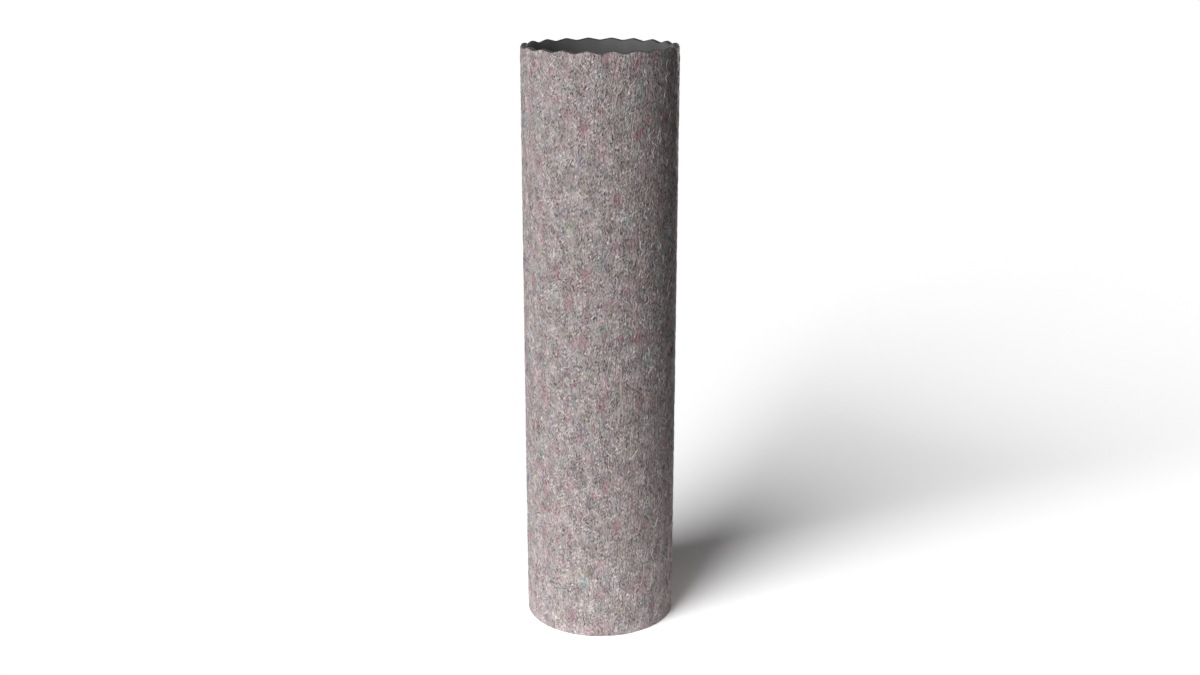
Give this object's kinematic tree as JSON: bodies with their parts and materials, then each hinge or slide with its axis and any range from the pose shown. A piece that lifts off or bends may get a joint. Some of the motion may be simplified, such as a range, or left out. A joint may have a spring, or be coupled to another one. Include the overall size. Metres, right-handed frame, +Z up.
{
  "type": "roll of felt",
  "caption": "Mottled recycled-fibre felt on a thick dark grey backing, rolled once into an open tube with a scalloped upper edge, standing on its flat lower edge.",
  "frame": {"origin": "centre of the roll's foot, on the surface it stands on", "axes": "+Z up along the roll's axis, -Y the front, where the backing's two ends meet, +Y the back, where the felt's two ends meet"},
  "size_m": [0.26, 0.26, 1.0021],
  "materials": {
    "felt": "matt mottled recycled-fibre felt",
    "backing": "smooth dark grey foam rubber sheet with a darker cut edge"
  },
  "bodies": {
    "root": {"felt_strip": "felt", "backing_strip": "backing"}
  },
  "joints": []
}
